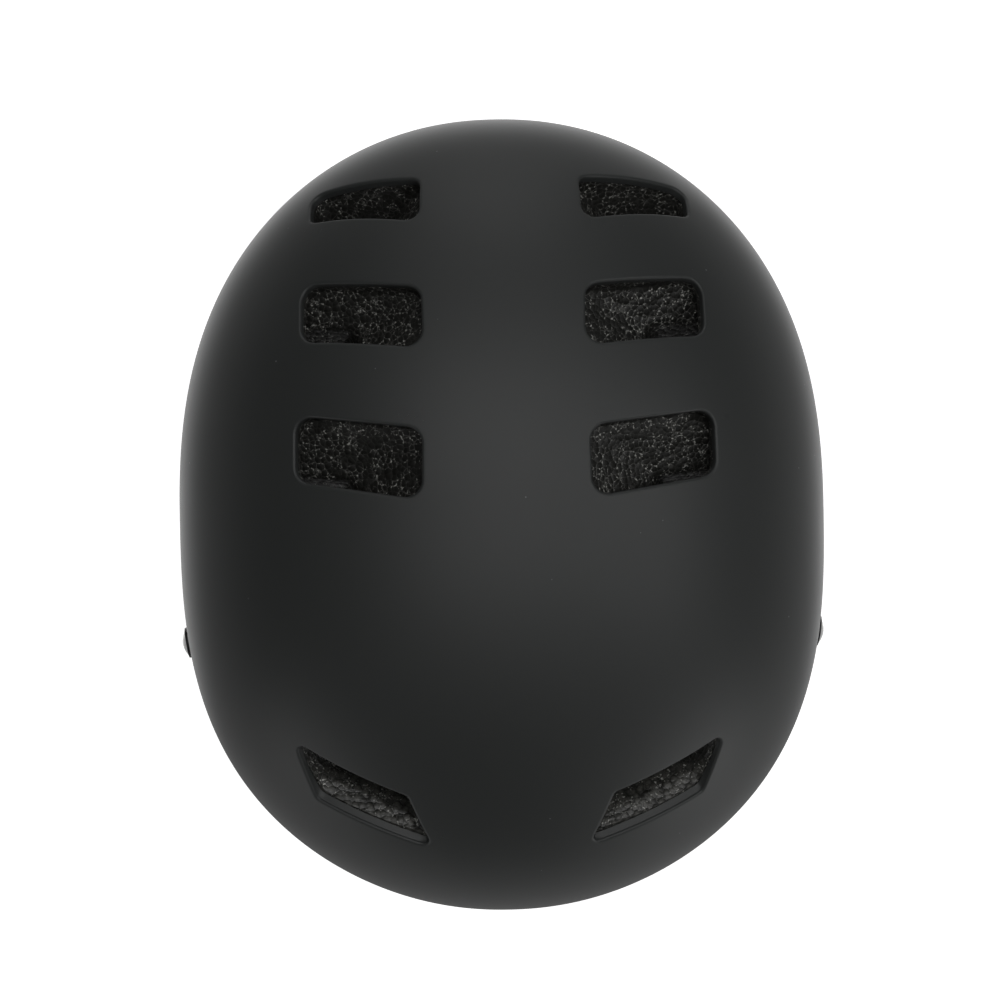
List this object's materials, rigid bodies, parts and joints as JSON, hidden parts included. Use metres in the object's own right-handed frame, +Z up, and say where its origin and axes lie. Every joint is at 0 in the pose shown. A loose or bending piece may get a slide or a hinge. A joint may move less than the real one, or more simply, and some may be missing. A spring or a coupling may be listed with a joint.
{
  "type": "bicycle helmet",
  "caption": "Rounded hard-shell bicycle helmet with slot vents, foam liner, pads, dial-adjusted fit band, strap dividers and a buckled chin strap.",
  "frame": {"origin": "top of the wearer's head, where the crown pad rests on it", "axes": "+Z up, -Y the way the face looks, +X the wearer's left"},
  "size_m": [0.2226, 0.2725, 0.282],
  "materials": {
    "shell": "satin black",
    "foam": "beaded black foam",
    "pad_fabric": "brushed knit over foam",
    "webbing": "woven",
    "moulding": "fine moulded grain",
    "dial_grip": "fluted grip",
    "rubber": "matt",
    "hook_tape": "hook fastener",
    "steel": "nickel plated"
  },
  "bodies": {
    "root": {"shell": "shell", "liner": "foam", "brow_pad": "pad_fabric", "crown_pad": "pad_fabric", "left_side_pad": "pad_fabric", "right_side_pad": "pad_fabric", "rear_pad": "pad_fabric", "hook_dots": "hook_tape", "strap_rivets": "steel", "rivet_washers": "rubber", "backing_washers": "steel", "left_front_webbing": "webbing", "left_rear_webbing": "webbing", "right_front_webbing": "webbing", "right_rear_webbing": "webbing", "left_chin_webbing": "webbing", "right_chin_webbing": "webbing", "left_divider": "moulding", "right_divider": "moulding", "left_lever_pin": "steel", "right_lever_pin": "steel", "buckle_socket": "moulding", "dial_housing": "moulding", "dial_cover": "moulding", "click_spring": "steel", "housing_screws": "steel", "left_fit_band": "moulding", "right_fit_band": "moulding", "temple_anchors": "moulding", "cradle_hanger": "moulding", "hanger_pins": "moulding", "nape_pad": "pad_fabric"},
    "dial": {"dial_knob": "dial_grip", "dial_pinion": "moulding", "knob_screw": "steel"},
    "left_rack": {"left_rack": "moulding"},
    "right_rack": {"right_rack": "moulding"},
    "left_lock_lever": {"left_lock_lever": "moulding"},
    "right_lock_lever": {"right_lock_lever": "moulding"},
    "buckle_plug": {"buckle_plug": "moulding", "buckle_arms": "moulding", "strap_keeper": "rubber"}
  },
  "joints": [
    {"name": "dial_turn", "type": "hinge", "parent": "root", "child": "dial", "pos_m": [0, 0.092, -0.136], "axis": [0, 1, 0], "range_deg": [-95, 95]},
    {"name": "left_rack_slide", "type": "slide", "parent": "root", "child": "left_rack", "axis": [1, 0, 0], "range_m": [-0.01, 0.01], "deforming": ["left_fit_band"]},
    {"name": "right_rack_slide", "type": "slide", "parent": "root", "child": "right_rack", "axis": [-1, 0, 0], "range_m": [-0.01, 0.01], "deforming": ["right_fit_band"]},
    {"name": "buckle_release", "type": "slide", "parent": "root", "child": "buckle_plug", "axis": [-0.788, 0, -0.6157], "range_m": [0, 0.024], "deforming": ["buckle_arms", "right_chin_webbing"]},
    {"name": "left_lever_turn", "type": "hinge", "parent": "root", "child": "left_lock_lever", "pos_m": [0.091, -0.03, -0.1537], "axis": [0, -1, 0], "range_deg": [0, 70]},
    {"name": "right_lever_turn", "type": "hinge", "parent": "root", "child": "right_lock_lever", "pos_m": [-0.091, -0.03, -0.1537], "axis": [0, 1, 0], "range_deg": [0, 70]}
  ],
  "couplings": [
    {"joint": "left_rack_slide", "follows": "dial_turn", "m_per_rad": 0.006},
    {"joint": "right_rack_slide", "follows": "dial_turn", "m_per_rad": 0.006}
  ]
}
